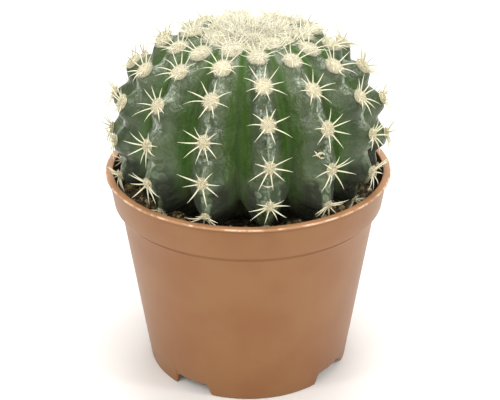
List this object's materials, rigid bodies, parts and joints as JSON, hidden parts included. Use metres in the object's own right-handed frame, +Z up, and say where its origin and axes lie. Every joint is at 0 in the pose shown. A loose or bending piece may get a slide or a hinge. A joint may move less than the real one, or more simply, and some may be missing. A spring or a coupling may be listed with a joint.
{
  "type": "potted round cactus",
  "caption": "Ribbed globe cactus with star-shaped spine clusters and a woolly crown, standing in peat soil in a tapered terracotta-coloured nursery pot with a collar and lip",
  "frame": {"origin": "on the surface that the pot stands on, under the middle of the pot's foot", "axes": "+Z is up, along the pot's axis; -Y is the front, the side that faces the viewer; +X is to the viewer's right"},
  "size_m": [0.125, 0.1269, 0.1535],
  "materials": {
    "pot": "satin terracotta-coloured injection-moulded plastic",
    "soil": "loose dark peat with pale grit",
    "cactus": "waxy grey-green skin with cream pads and spines",
    "crown_wool": "matte cream wool with young spines"
  },
  "bodies": {
    "root": {"pot": "pot", "soil": "soil", "cactus": "cactus", "crown_wool": "crown_wool"}
  },
  "joints": []
}
